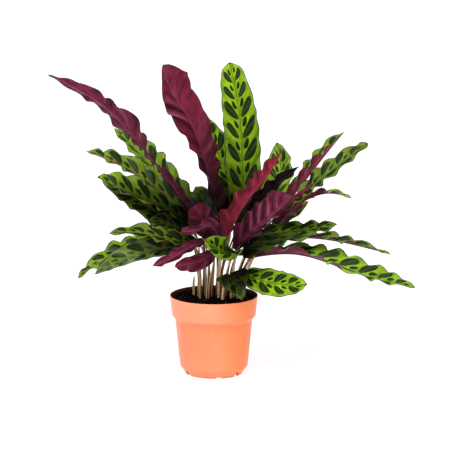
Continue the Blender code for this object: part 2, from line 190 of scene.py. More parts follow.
def place(tree, kind, inputs=(), **settings):
    # Adds a node, sets its options and fills its inputs.
    node = tree.nodes.new(kind)
    for key, value in settings.items():
        setattr(node, key, value)
    for key, value in dict(inputs).items():
        fill(tree, node.inputs[key], value)
    return node


def maths(tree, operation, *values):
    return place(tree, "ShaderNodeMath", dict(enumerate(values)), operation=operation).outputs[0]


def times(tree, first, second):
    return maths(tree, "MULTIPLY", first, second)


def wavesOf(tree, value, spacing):
    # sin(2 pi value / spacing).
    return maths(tree, "SINE", times(tree, value, tau / spacing))


def softStep(tree, value, low, high):
    # 0 below low, 1 above high, or the other way round when low is the larger.
    inputs = {0: value, 1: low, 2: high}
    return place(tree, "ShaderNodeMapRange", inputs, interpolation_type="SMOOTHSTEP").outputs[0]


def fade(tree, value, low, high):
    # 1 below low, 0 above high.
    return maths(tree, "SUBTRACT", 1, softStep(tree, value, low, high))


def tint(tree, share, first, second):
    node = place(tree, "ShaderNodeMix", {0: share}, data_type="RGBA")
    for socket, colour in ((node.inputs[6], first), (node.inputs[7], second)):
        fill(tree, socket, (*colour, 1) if isinstance(colour, tuple) else colour)
    return node.outputs[2]


def layers(tree, colour, *coats):
    # Coats laid over a colour in order, each given as where it shows, how strong it is and its colour.
    for share, strength, coat in coats:
        colour = tint(tree, share if strength == 1 else times(tree, share, strength), colour, coat)
    return colour


def vectorOf(tree, x, y, z):
    return place(tree, "ShaderNodeCombineXYZ", {0: x, 1: y, 2: z}).outputs[0]


def split(tree, vector):
    outputs = place(tree, "ShaderNodeSeparateXYZ", {0: vector}).outputs
    return outputs[0], outputs[1], outputs[2]


def parts(tree, attribute):
    # The three values that setAttribute gave each point.
    return split(tree, place(tree, "ShaderNodeAttribute", attribute_name=attribute).outputs["Vector"])


def noise(tree, vector, scale, detail=3, roughness=0.55):
    inputs = {"Vector": vector, "Scale": scale, "Detail": detail, "Roughness": roughness}
    return place(tree, "ShaderNodeTexNoise", inputs).outputs["Fac"]


def bumpInto(tree, shader, height, strength, distance):
    bump = place(tree, "ShaderNodeBump", {"Height": height, "Strength": strength, "Distance": distance * mm})
    tree.links.new(bump.outputs[0], shader.inputs["Normal"])


leafPattern = dict(
    firstPair=22,                      # distance of the first pair of ovals from the tip
    growth=0.11,                       # how much further apart each pair is than the one before
    veinAngle=40,                      # between the side veins and the midrib, degrees
    largeOval=(0.30, 0.46, 0.38),      # width in shares of a pair, middle and reach in shares of half a blade
    smallOval=(0.19, 0.24, 0.14),      # the ovals between them
    fineVein=1.7, underVein=1.9, broadVein=6.1,      # spacing of the fine lines and the broad soft ones
    dryTip=(2.0, 4.5), veinBump=0.35, grainBump=1.2, bumpDepth=0.25,
    ground=(0.225, 0.388, 0.002), groundDeep=(0.085, 0.175, 0.003), groundPale=(0.36, 0.52, 0.05),
    groundOlive=(0.13, 0.165, 0.012), spot=(0.007, 0.020, 0.002), spotSheen=(0.020, 0.042, 0.010),
    crestSheen=(0.24, 0.30, 0.17), margin=(0.012, 0.040, 0.008), rim=(0.42, 0.52, 0.30),
    midrib=(0.03, 0.09, 0.012), dry=(0.06, 0.035, 0.02), shadow=(0.001, 0.0012, 0.0004),
    under=(0.135, 0.006, 0.033), underRed=(0.34, 0.010, 0.030), underPaleAndHighlight=(0.36, 0.14, 0.20),
    underDarkAndShade=(0.006, 0.001, 0.002))


def spotMask(tree, phase, shift, reach, side, seed, oval):
    # Ovals in cells of the pair count, from the first pair on: |q| below width * sqrt(1 - f^2) * (1 + 0.3 f),
    # with f along the vein. Each cell draws its own width and reach, up to 15% more or less.
    width, middle, length = oval
    moved = maths(tree, "ADD", phase, shift)
    cell = maths(tree, "ROUND", moved)
    key = vectorOf(tree, cell, side, seed)
    chance = place(tree, "ShaderNodeTexWhiteNoise", {0: key}).outputs["Value"]
    q = maths(tree, "ABSOLUTE", maths(tree, "SUBTRACT", moved, cell))
    stretch = maths(tree, "MULTIPLY_ADD", chance, 0.25 * length, 0.85 * length)
    f = maths(tree, "DIVIDE", maths(tree, "SUBTRACT", reach, middle), stretch)
    rounding = maths(tree, "SQRT", maths(tree, "MAXIMUM", maths(tree, "SUBTRACT", 1, times(tree, f, f)), 0))
    body = times(tree, rounding, maths(tree, "MULTIPLY_ADD", f, 0.3, 1.0))
    wide = maths(tree, "MULTIPLY_ADD", chance, 0.3 * width, 0.85 * width)
    gap = maths(tree, "MULTIPLY_ADD", times(tree, body, wide), -1, q)
    there = maths(tree, "GREATER_THAN", cell, 0.5)
    return times(tree, fade(tree, gap, -0.035, -0.005), there), q


def finishLeaf(tree, shader, p, colour, toTip, fine, grainy, strength):
    # Both sides of a leaf end in a dry tip and share the relief of their fine veins and grain.
    colour = tint(tree, fade(tree, toTip, *p["dryTip"]), colour, p["dry"])
    tree.links.new(colour, shader.inputs["Base Color"])
    height = maths(tree, "MULTIPLY_ADD", fine, p["veinBump"], times(tree, grainy, p["grainBump"]))
    bumpInto(tree, shader, height, strength, p["bumpDepth"])


def upperLeafMaterial(p):
    material, tree, shader = startMaterial("leafUpper", Roughness=0.34, Specular_IOR_Level=0.04)
    phase, across, seed = parts(tree, "leafMap")
    acrossMm, toTip, toMargin = parts(tree, "leafSpan")
    veinMm, dim, hue = parts(tree, "leafToneAndShade")
    crest, _, crestSheen = parts(tree, "leafWave")
    reach = maths(tree, "ABSOLUTE", across)
    side = maths(tree, "SIGN", across)
    local = vectorOf(tree, times(tree, veinMm, 0.06), times(tree, across, 1.4), seed)
    cloudy = noise(tree, local, 1.0)
    grainy = noise(tree, local, 9.0, 4)
    wobble = maths(tree, "MULTIPLY_ADD", grainy, 0.10, -0.05)
    moved = maths(tree, "ADD", maths(tree, "ADD", phase, times(tree, side, 0.05)), wobble)
    large, largeQ = spotMask(tree, moved, 0, reach, side, seed, p["largeOval"])
    small, _ = spotMask(tree, moved, 0.5, reach, side, seed, p["smallOval"])
    fine = wavesOf(tree, veinMm, p["fineVein"])
    fineLine = softStep(tree, fine, 0.55, 1.0)
    broad = wavesOf(tree, veinMm, p["broadVein"])
    ground = layers(
        tree, p["groundDeep"],
        (softStep(tree, cloudy, 0.35, 0.65), 1, p["ground"]),
        (hue, 1, p["groundOlive"]),
        (fineLine, 0.22, p["groundPale"]),
        (softStep(tree, broad, 0.2, 1.0), 0.16, p["groundPale"]),
        (fade(tree, toMargin, 0.6, 4.5), 0.45, p["groundDeep"]))      # deeper towards the margin
    spots = layers(
        tree, p["spotSheen"],
        (softStep(tree, largeQ, 0.02, 0.15), 1, p["spot"]),
        (fineLine, 0.25, p["spotSheen"]))
    border = maths(tree, "ADD", toMargin, times(tree, grainy, -0.8))
    thread = times(tree, softStep(tree, toMargin, 1.1, 1.5), softStep(tree, toMargin, 2.3, 1.7))
    rib = fade(tree, maths(tree, "ABSOLUTE", acrossMm), 0.35, 0.85)
    colour = layers(
        tree, ground,
        (maths(tree, "MAXIMUM", large, small), 1, spots),
        (fade(tree, border, 0.5, 1.3), 0.92, p["margin"]),      # a dark line along the margin
        (thread, 0.30, p["rim"]),      # and a pale thread inside it
        (rib, 0.85, p["midrib"]),
        (times(tree, crestSheen, softStep(tree, crest, 0.1, 0.9)), 1, p["crestSheen"]),      # painted grey sheen on the crests
        (dim, 1, p["shadow"]))
    finishLeaf(tree, shader, p, colour, toTip, fine, grainy, 0.55)
    return material


def lowerLeafMaterial(p):
    material, tree, shader = startMaterial("leafUnderside", Roughness=0.36, Specular_IOR_Level=0.09)
    _, across, seed = parts(tree, "leafMap")
    acrossMm, toTip, toMargin = parts(tree, "leafSpan")
    veinMm, dim, red = parts(tree, "leafToneAndShade")
    crest, _, _ = parts(tree, "leafWave")
    local = vectorOf(tree, times(tree, veinMm, 0.05), times(tree, across, 1.6), seed)
    cloudy = noise(tree, local, 1.2)
    grainy = noise(tree, local, 10.0, 4)
    fine = wavesOf(tree, veinMm, p["underVein"])
    broad = wavesOf(tree, veinMm, p["broadVein"])
    rib = fade(tree, maths(tree, "ABSOLUTE", acrossMm), 0.3, 0.9)
    colour = layers(
        tree, p["under"],
        (red, 1, p["underRed"]),
        (softStep(tree, crest, 0.45, 0.05), 0.85, p["underDarkAndShade"]),      # painted shade in the hollows
        (softStep(tree, crest, 0.68, 1.0), 0.42, p["underPaleAndHighlight"]),      # and a painted highlight on the crests
        (softStep(tree, cloudy, 0.4, 0.75), 0.12, p["underPaleAndHighlight"]),
        (softStep(tree, cloudy, 0.62, 0.30), 0.35, p["underDarkAndShade"]),
        (softStep(tree, fine, 0.5, 1.0), 0.09, p["underPaleAndHighlight"]),
        (softStep(tree, broad, 0.75, 1.0), 0.25, p["underDarkAndShade"]),
        (fade(tree, toMargin, 0.4, 1.2), 0.6, p["margin"]),
        (rib, 0.22, p["underPaleAndHighlight"]),
        # painted shade: darker towards the root, on dim leaves and where the leaves crowd
        (dim, 1, p["underDarkAndShade"]))
    finishLeaf(tree, shader, p, colour, toTip, fine, grainy, 0.5)
    return material


clump = dict(middle=(0, 20, 240), reach=(85, 50, 55), strength=0.96)      # where leaves crowd and it is dark


def clumpShade(points, p):
    # How little light reaches a place among the leaves: strength * exp(-squared distance from the middle).
    away = (points - p["middle"]) / p["reach"]
    return p["strength"] * np.exp(-(away**2).sum(axis=-1))


bladeLook = dict(
    rowStep=1.5, fewestRows=30,                 # mm along between rows
    columns=14, crowd=1.25,                     # columns in each half, and how they crowd at the midrib
    widest=0.48, full=0.45, acumen=6,           # outline, for leaves that give none of their own
    rootWidth=1.5, rootPoint=0.5, outlineBlur=0.7,
    thickness=0.45, rootThickness=1.7, rootFade=7, edgeTaper=6, tipTaper=5,
    ridge=0.75, groove=0.35, ribSpread=0.9, ribFade=0.6,             # the midrib, below and above
    waveLength=30, leftShift=0.35,              # mm for one turn of the ruffle; turns its left half is ahead
    ruffleGain=1.3, ruffleRise=1.6, secondWave=0.18, scallop=0.03, belly=0.06,
    waveDrift=(0.12, 97), leafShift=0.37, sideDrift=(0.08, 67),      # turns of drift, and mm for one drift
    uneven=(0.3, 71), leftUneven=1.9,           # share of the ruffle's height, and mm for one change
    pleat=(0.30, 5.6), pleatOnset=6, pleatDrift=(0.06, 83, 47),
    root=(0.8, 26), rootSteep=1.5)

# Each blade; values in brackets are spread evenly from its root to its tip.
# rib: points of the midrib; half: half width; turn: degrees from facing the front; fold: degrees that both
# halves rise; ruffle: height of the waves at the margin; start: turns of the wave at the root; wave: mm for
# one turn; blunt and full: how narrow the tip and the root are; widest: where it is widest; outline: shares
# of half in place of those three; skew: share by which the left half is wider than half; pleat: height and
# spacing; acumen: mm over which the tip narrows; dry: how many times longer the dry end is; root: strength
# and reach of the shade at the root; rootSteep: how sharply that shade ends; dim: shade all over; hue: olive
# above and red below; crestSheen: painted grey sheen on the crests.
leaves = {
    "01": dict(rib=[(-25, -20, 245), (-65, -40, 310), (-105, -60, 365), (-160, -90, 435),
                    (-250, -125, 495)],
        half=21, turn=(135, 125, 101, 138, 145, 150), fold=(25, 20, 7, 25, 33, 33), ruffle=2.8,
        blunt=0.8, start=0.15, wave=37,
        outline=(0.45, 0.5, 0.5, 0.5, 0.55, 0.55, 0.5, 0.38, 0.32, 0.72, 1, 1.15, 1.12, 0.82, 0.62, 0.72,
                 0.66, 0.62, 0.42, 0.2, 0.03), root=(0.9, 110), dry=3.5),
    "02": dict(rib=[(10, -10, 240), (-10, -25, 330), (-40, -55, 420), (-71, -78, 480), (-76, -85, 505)],
        half=27, turn=(125, 135, 150, 165, 172), fold=20, ruffle=4, blunt=0.38, start=0.3, wave=38,
        widest=0.62, full=0.8, outline=(0.6, 0.6, 0.55, 0.6, 0.83, 0.95, 1.05, 1.08, 0.98, 0.82, 0.7),
        skew=(0.3, 0.35, 0.35, 0.18, 0, 0, -0.05, 0, 0.14, 0.58, 0.6), pleat=(1.2, 31), acumen=26,
        root=(1, 130), rootSteep=3.5, hue=0.2, dim=0.12, dry=1.6),
    "03": dict(rib=[(46, 10, 222), (46, 40, 320), (40, 60, 410), (25, 90, 485)],
        half=29, turn=(10, 0), fold=10, ruffle=2.5, blunt=0.33, start=0.6, acumen=10, root=(1, 110)),
    "04": dict(rib=[(40, 35, 255), (25, 50, 300), (5, 75, 345), (-15, 100, 395)],
        half=27, turn=0, fold=12, ruffle=2.5, blunt=0.7, start=0, full=0.12, root=(0.9, 60), dim=0.15),
    "05": dict(rib=[(-30, 10, 250), (-75, 30, 295), (-115, 55, 340), (-160, 80, 380)],
        half=29, turn=38, fold=30, ruffle=3.5, blunt=0.75, start=0.5, full=0.15, root=(0.95, 75),
        hue=0.45, crestSheen=0.1),
    "06": dict(rib=[(-35, -10, 260), (-80, -10, 290), (-135, -15, 330), (-200, -20, 360)],
        half=26, turn=55, fold=30, ruffle=3.5, blunt=0.75, start=0.2, full=0.15, root=(0.95, 80),
        hue=0.45, crestSheen=0.14),
    "07": dict(rib=[(-40, 10, 240), (-85, 15, 265), (-135, 25, 285), (-185, 30, 310)],
        half=25, turn=45, fold=34, ruffle=3.5, blunt=0.6, start=0.7, full=0.15, skew=-0.3,
        root=(0.6, 32), hue=0.1, crestSheen=0.1),
    "08": dict(rib=[(-45, 30, 220), (-90, 40, 250), (-140, 55, 280), (-180, 70, 300)],
        half=20, turn=20, fold=10, ruffle=3, blunt=0.7, start=0.4, full=0.12, root=(1, 60), hue=0.4,
        dim=0.35),
    "09": dict(rib=[(-25, -15, 210), (-75, -40, 225), (-120, -45, 235), (-165, -50, 235)],
        half=20, turn=55, fold=19, ruffle=3, blunt=0.8, start=0.9, full=0.15, root=(1, 45), hue=0.8,
        dim=0.25),
    "10": dict(rib=[(-35, 5, 225), (-65, 10, 235), (-85, 20, 240), (-105, 25, 240)],
        half=18, turn=20, fold=12, ruffle=2, blunt=0.6, start=0.35, full=0.2, hue=0.4, dim=0.6),
    "11": dict(rib=[(-35, 5, 205), (-85, 5, 205), (-155, -15, 195), (-215, -40, 160)],
        half=21, turn=(50, 45), fold=25, ruffle=3.5, blunt=0.85, start=0.1, full=0.15, root=(1, 45),
        hue=0.15, dim=0.1, crestSheen=0.12),
    "12": dict(rib=[(-35, -5, 205), (-85, -30, 205), (-140, -55, 195), (-185, -75, 175)],
        half=17, turn=5, fold=10, ruffle=3, blunt=0.85, start=0.6, full=0.15, skew=-0.35, root=(1, 60),
        hue=0.6, dim=0.25, crestSheen=0.36),
    "13": dict(rib=[(-15, -40, 220), (-45, -60, 210), (-70, -85, 200), (-95, -105, 195)],
        half=11, turn=150, fold=32, ruffle=2.5, blunt=0.7, start=0, full=0.15, hue=0.15),
    "14": dict(rib=[(0, -40, 205), (-20, -65, 195), (-40, -90, 195), (-60, -110, 195)],
        half=14, turn=190, fold=18, ruffle=2, blunt=0.6, start=0.5, widest=0.4, full=0.3, hue=0.15,
        dim=0.2),
    "15": dict(rib=[(0, -20, 225), (-15, -50, 255), (-30, -80, 285)],
        half=21, turn=180, fold=12, ruffle=1.5, blunt=0.45, start=0.2, full=0.2, root=(0.8, 45),
        hue=0.1),
    "16": dict(rib=[(10, -45, 225), (-5, -60, 249), (-25, -85, 248), (-50, -110, 250)],
        half=12, turn=150, fold=30, ruffle=2.5, blunt=0.6, start=0.4, full=0.1,
        outline=(0.5, 0.9, 1.1, 1.15, 1, 0.7, 0.6, 0.6, 0.65, 0.65, 0.5), acumen=4),
    "17": dict(rib=[(45, -45, 200), (15, -80, 210), (-15, -115, 240)],
        half=27, turn=(105, 60, 30, 20), fold=38, ruffle=2, blunt=0.45, start=0.8, full=0.5,
        root=(0.97, 50), hue=0.1, dim=0.03),
    "18": dict(rib=[(20, -25, 220), (52, -40, 285), (80, -60, 325), (105, -85, 370)],
        half=29, turn=226, fold=42, ruffle=3, blunt=1, start=0.05, widest=0.36, full=0.16,
        outline=(0.1, 0.5, 0.75, 0.88, 0.97, 0.93, 0.5, 0.62, 0.92, 0.82, 0.42, 0.56, 0.68, 0.6, 0.5,
                 0.45, 0.5, 0.45, 0.33, 0.16, 0.02), pleat=(0.45, 26), root=(0.4, 40), hue=0.8,
        dim=0.12),
    "19": dict(rib=[(70, 20, 250), (90, 35, 280), (105, 50, 310), (100, 65, 360)],
        half=24, turn=-20, fold=12, ruffle=4.5, blunt=0.6, start=0.3, root=(0.8, 30), hue=0.2,
        crestSheen=0.1),
    "20": dict(rib=[(35, -35, 205), (60, -55, 240), (90, -80, 270), (120, -100, 305)],
        half=24, turn=216, fold=32, ruffle=2.5, blunt=0.5, start=0.1, full=0.12,
        outline=(0.2, 0.7, 1, 1, 0.9, 0.83, 0.87, 0.83, 0.87, 0.75, 0.3),
        skew=(0, 0, -0.05, 0, -0.12, -0.38, -0.38, -0.38, -0.35, -0.44, -0.4), pleat=(3.2, 23),
        root=(0.8, 45)),
    "21": dict(rib=[(100, 45, 245), (140, 65, 290), (170, 85, 325), (210, 110, 370)],
        half=21, turn=(-84, -92, -88, -75, -60, -30), fold=46, ruffle=3, blunt=0.8, start=0.7, hue=0.45,
        dim=0.15, crestSheen=0.1),
    "22": dict(rib=[(110, 30, 250), (165, 40, 300), (210, 45, 335), (245, 55, 360)],
        half=22, turn=(-54, -52, -52, -50), fold=20, ruffle=3, blunt=0.75, start=0.2,
        outline=(0.15, 0.3, 0.5, 0.75, 0.95, 1, 1, 0.95, 0.8, 0.6, 0.3), hue=0.5, dim=0.38, crestSheen=0.1),
    "23": dict(rib=[(55, -5, 260), (85, -10, 295), (110, -10, 315), (135, -10, 335)],
        half=12, turn=225, fold=20, ruffle=2.5, blunt=0.8, start=0.4, full=0.25, dim=1),
    "24": dict(rib=[(100, 10, 235), (135, -15, 275), (180, -30, 295), (215, -45, 290)],
        half=17, turn=(215, 225, 250, 275, 310), fold=25, ruffle=2.5, blunt=0.8, start=0.9, crestSheen=0.4),
    "25": dict(rib=[(100, -10, 263), (125, -40, 293), (141, -55, 307), (157, -65, 319)],
        half=15, turn=76, fold=46, ruffle=1.5, blunt=0.5, start=0.6),
    "26": dict(rib=[(95, 20, 230), (115, 15, 245), (135, 10, 260), (150, 10, 275)],
        half=9.5, turn=-20, fold=12, ruffle=2, blunt=0.6, start=0.1, full=0.15, skew=0.35, hue=1,
        dim=0.4),
    "27": dict(rib=[(55, -15, 220), (100, -20, 230), (145, -20, 235), (195, -25, 245)],
        half=21, turn=-52, fold=6, ruffle=3, blunt=0.7, start=0.5, full=0.15, root=(1, 95), hue=0.1,
        dim=0.2),
    "28": dict(rib=[(46, -38, 208), (135, -60, 230), (205, -75, 225), (275, -90, 210)],
        half=22, turn=(-35, -55, -75, -74, -72), fold=(14, 14, 20, 20, 20), ruffle=3, blunt=0.8,
        start=0.3, full=0.12, skew=(-0.5, -0.5, -0.4, -0.3, -0.1, 0, 0, 0, 0), root=(1, 150), hue=0.45,
        crestSheen=0.2),
    "29": dict(rib=[(65, -35, 195), (135, -70, 205), (210, -95, 185), (310, -125, 165)],
        half=27, turn=(-92, -78, -56, -48, -46), fold=34, ruffle=3.5, blunt=0.7, start=0.8, wave=33,
        crestSheen=0.05),
    "30": dict(rib=[(45, -25, 165), (75, -50, 160), (110, -80, 160), (145, -100, 165)],
        half=22, turn=-10, fold=8, ruffle=2, blunt=0.6, start=0.2, root=(0.5, 18)),
    "31": dict(rib=[(25, -30, 165), (35, -55, 155), (45, -80, 135)],
        half=28, turn=(-25, 10), fold=20, ruffle=2, blunt=0.55, start=0.7,
        outline=(0.25, 0.8, 1, 1, 0.9, 0.8, 0.66, 0.5, 0.36, 0.2, 0.05), root=(1, 45), dim=0.6,
        crestSheen=0.3),
    "32": dict(rib=[(-5, 25, 250), (-15, 40, 270), (-30, 55, 290)],
        half=16, turn=10, fold=10, ruffle=1.5, blunt=0.6, start=0.4, dim=0.72),
}


def spreadOver(values, share):
    # Evenly spaced values from root to tip, read off at each share of the length.
    values = np.atleast_1d(values)
    return np.interp(share, np.linspace(0, 1, len(values)), values)


def halfWidths(leaf, share, look):
    # Lance outline: half * (1 - rise^2)^full * (1 - fall^2)^blunt about the widest place. A leaf with
    # an outline of its own takes those shares of its half width, evenly spaced and smoothed.
    if "outline" in leaf:
        blur = look["outlineBlur"] / (len(leaf["outline"]) - 1) * np.linspace(-1, 1, 9)[:, None]
        outline = spreadOver(leaf["outline"], np.clip(share[:, 0] + blur, 0, 1)).mean(axis=0)[:, None]
    else:
        widest = leaf.get("widest", look["widest"])
        rise = np.clip((widest - share) / widest, 0, 1)
        fall = np.clip((share - widest) / (1 - widest), 0, 1)
        outline = (1 - rise**2) ** leaf.get("full", look["full"]) * (1 - fall**2) ** leaf["blunt"]
    return np.maximum(leaf["half"] * outline, look["rootWidth"] * (1 - share))


def bladeAxes(leaf, look):
    # Rows along the midrib, each with its share of the length, its place, the way along, the way across
    # and the way up: up = front * cos(turn) + (along x front) * sin(turn), with front square to the midrib.
    length = naturalSpline(leaf["rib"], 2)[2]
    rows = max(look["fewestRows"], int(length / look["rowStep"]) + 2)
    rib, along, length = naturalSpline(leaf["rib"], rows)
    share = np.linspace(0, 1, rows)[:, None]
    front = np.array(frontWay)
    front = unit(front - (along @ front)[:, None] * along)
    turn = np.radians(spreadOver(leaf["turn"], share))
    up = front * np.cos(turn) + np.cross(along, front) * np.sin(turn)
    return share, rib, along, np.cross(along, up), up, length


def ruffleTurns(leaf, s, v, veinLead, seed, look):
    # Turns of the ruffle: (length + lead of the side veins) / wavelength, drifting slowly along the blade
    # and the opposite way on its two sides.
    drift, side = look["waveDrift"], look["sideDrift"]
    wave = (s + veinLead) / leaf.get("wave", look["waveLength"])
    wave = wave + leaf["start"] + np.where(v < 0, look["leftShift"], 0)
    wave = wave + drift[0] * np.sin(tau * (s / drift[1] + seed * look["leafShift"]))
    return wave + np.where(v < 0, side[0], -side[0]) * np.sin(tau * s / side[1] + seed)


def veinPleats(s, v, veinMm, spacing, seed, look):
    # Pleats along the side veins: sin(turns), none at the midrib, whole from 1 / pleatOnset of the way out.
    amount, longWay, shortWay = look["pleatDrift"]
    drift = amount * (np.sin(tau * s / longWay + 1.3 * seed)
                      + np.where(v < 0, 1, -1) * np.sin(tau * s / shortWay + seed))
    return np.sin(tau * (veinMm / spacing + drift)) * np.clip(np.abs(v) * look["pleatOnset"], 0, 1)


def ringOf(over, below):
    # One closed ring per row: across the upper skin, then back along the lower one.
    return np.concatenate([over, below[:, -2:0:-1]], axis=1)


def bladeSkins(middle, mmAcross, s, share, reach, toTip, look):
    # Upper skin: middle + normal * (thick / 2 - groove). Lower skin: middle - normal * (thick / 2 + ridge).
    # Groove and ridge follow the midrib, and the blade thins towards its margin and its tip.
    normal = unit(np.cross(np.gradient(middle, axis=1), np.gradient(middle, axis=0)))
    thick = look["thickness"] + (look["rootThickness"] - look["thickness"]) * np.exp(-s / look["rootFade"])
    thick = thick * (1 - reach**look["edgeTaper"]) * np.clip(toTip / look["tipTaper"], 0.2, 1)
    onRib = np.exp(-(mmAcross / look["ribSpread"])**2) * (1 - look["ribFade"] * share)
    over = middle + normal * (thick / 2 - look["groove"] * onRib)[..., None]
    below = middle - normal * (thick / 2 + look["ridge"] * onRib)[..., None]
    return ringOf(over, below)


def bladeSurface(leaf, seed, look, pattern):
    # Middle surface: rib + side * v*w*cos(fold) + up * (|v|*w*sin(fold) + belly + ruffle*|v|^1.6*sin(wave)
    # + pleats), with v from -1 to 1 across; wave and pleats run along side veins that lean towards the tip.
    share, rib, along, side, up, length = bladeAxes(leaf, look)
    tip = rib[-1]
    share, rib, side, up = (rows[:-1] for rows in (share, rib, side, up))   # the last row is the tip itself
    s, toTip = share * length, (1 - share) * length
    half = halfWidths(leaf, share, look) * np.clip(toTip / leaf.get("acumen", look["acumen"]), 0.02, 1) ** 0.5
    steps = np.linspace(0, 1, look["columns"] + 1) ** look["crowd"]
    v = np.concatenate([-steps[:0:-1], steps])[None, :]
    reach = np.abs(v)
    half = half * (1 - spreadOver(leaf.get("skew", 0), share) * np.sign(v))
    lean = 1 / math.tan(math.radians(pattern["veinAngle"]))
    veinMm = s - reach * half * lean
    wave = ruffleTurns(leaf, s, v, (1 - reach) * half * lean, seed, look)
    swell = np.clip(np.sin(math.pi * share), 0, 1) ** 0.5
    uneven = 1 + look["uneven"][0] * np.sin(tau * s / look["uneven"][1] + 2 * seed
                                            + np.where(v < 0, look["leftUneven"], 0))
    ruffle = leaf["ruffle"] * look["ruffleGain"] * swell * uneven * reach**look["ruffleRise"]
    lift = ruffle * (np.sin(tau * wave) + look["secondWave"] * np.cos(2 * tau * wave))
    height, spacing = leaf.get("pleat", look["pleat"])
    pleats = veinPleats(s, v, veinMm, spacing, seed, look)
    lift = lift + height * pleats * swell
    width = half * (1 + look["scallop"] * np.cos(tau * wave) * reach)
    fold = np.radians(spreadOver(leaf["fold"], share))
    lift = lift + reach * half * np.sin(fold) + look["belly"] * half * 4 * (reach - reach**2)
    flat = v * width * np.cos(fold)
    middle = rib[:, None] + side[:, None] * flat[..., None] + up[:, None] * lift[..., None]
    rings = bladeSkins(middle, v * width, s, share, reach, toTip, look)
    # pairs of ovals are counted from the tip: log(1 + growth * distance / firstPair) / growth
    distance = toTip + (reach - pattern["largeOval"][1]) * half * lean
    growth = pattern["growth"]
    phase = np.log(np.maximum(1 + growth * distance / pattern["firstPair"], 0.3)) / growth
    # painted shade: darker towards the root, on leaves given a dim, and where the leaves crowd
    dark, depth = leaf.get("root", look["root"])
    steep = leaf.get("rootSteep", look["rootSteep"])
    lit = (1 - leaf.get("dim", 0)) * (1 - dark * np.exp(-(s / depth)**steep))
    dim = 1 - lit * (1 - clumpShade(middle, clump))
    pleated = min(height / 2, 1)         # how far the crests follow the pleats instead of the wave
    crest = (1 - pleated) * np.sin(tau * wave) * np.clip(reach * 2, 0, 1) + pleated * pleats
    crest = 0.5 - 0.5 * crest * swell
    maps = dict(leafMap=(phase, v, seed),
                leafSpan=(v * width, toTip / leaf.get("dry", 1), (1 - reach) * width),
                leafToneAndShade=(veinMm, dim, leaf.get("hue", 0)),
                leafWave=(crest, 0, leaf.get("crestSheen", 0)))
    maps = {name: gridMap(wave.shape, *values) for name, values in maps.items()}
    maps = {name: ringOf(grid, grid) for name, grid in maps.items()}
    return rings, rib[0] - along[0] * look["rootPoint"], tip, maps


def makeBlade(number, leaf, materials):
    rings, root, tip, maps = bladeSurface(leaf, int(number), bladeLook, leafPattern)
    points, quads, triangles = loftSurface(rings, root, tip)
    sides = rings.shape[1]
    lower = [np.arange(len(faces)) % sides >= sides // 2 for faces in (quads, triangles)]
    quads = np.where(lower[0][:, None], np.roll(quads, -1, axis=1), quads)   # both skins split the same way
    piece = makePiece("blade_" + number, points, quads, triangles, materials, sharp=70)
    for name, values in maps.items():
        setAttribute(piece, name, poleValues(values))
    piece.data.polygons.foreach_set("material_index", np.concatenate(lower).astype(np.int32))
    finishPiece(piece, "leaf_" + number)


leafMaterials = [upperLeafMaterial(leafPattern), lowerLeafMaterial(leafPattern)]
for number, leaf in leaves.items():
    makeBlade(number, leaf, leafMaterials)
print("leaves:", len(leaves))


stalkLook = dict(
    soilTop=121.3, sunk=3.5, footSpread=1.5, footRadius=1.9, topRadius=1.15, taper=1.5, topTuck=0.8,
    rise=0.45, bend=0.2, overlap=1.5, sides=14, rowStep=2.2, ribs=5, ribDepth=0.05,
    sheathLength=34, sheathVaries=6, sheathEdge=1.2, sheathSwell=0.18, sheathLap=0.10,
    jointLength=9, jointSwell=0.22, sway=0.35, swayTurns=(2.3, 1.7),
    backShade=0.85, backStart=4, backReach=26,      # stalks further back stand in more shade
    tan=(1.0, 0.52, 0.28), pink=(0.86, 0.32, 0.20), straw=(1.0, 0.74, 0.42), olive=(0.14, 0.16, 0.02),
    brownAndShade=(0.07, 0.022, 0.014), shadow=(0.006, 0.003, 0.002))

# Each stalk or pair of stalks: the blades it carries, where it leaves the soil (x, y), and how far its
# colour leans to straw and to olive.
stalks = {
    "01": (("01", "15"), (-4, 8), 0.2, 0.1),
    "02": (("02", "16"), (5, 16), 0.4, 0),
    "03": (("03", "19"), (24, 28), 0.1, 0.5),
    "04": (("04", "32"), (8, 34), 0, 0.4),
    "05": (("05",), (-14, 38), 0.1, 0.2),
    "06": (("06",), (-16, 25), 0.2, 0.1),
    "07": (("07", "08"), (-23, 32), 0, 0.2),
    "08": (("09",), (-13, 14), 0.3, 0),
    "09": (("10", "11"), (-24, 17), 0.5, 0),
    "10": (("12",), (-21, 7), 0.2, 0),
    "11": (("13", "14"), (-9, -3), 0.1, 0.2),
    "12": (("17", "30"), (28, -8), 0.3, 0.3),
    "13": (("18",), (8, 0), 0.6, 0),
    "14": (("20",), (17, -2), 0.2, 0.5),
    "15": (("21",), (37, 34), 0, 0.6),
    "16": (("22",), (44, 33), 0.1, 0.6),
    "17": (("23",), (20, 13), 0.3, 0.1),
    "18": (("24",), (47, 10), 0.9, 0.1),
    "19": (("25",), (48, 0), 0.8, 0.2),
    "20": (("26",), (42, 17), 0.4, 0.3),
    "21": (("27",), (27, 14), 0.2, 0.2),
    "22": (("28",), (31, 3), 0.6, 0.1),
    "23": (("29",), (38, -3), 0, 0.8),
    "24": (("31",), (14, -13), 0.7, 0),
}


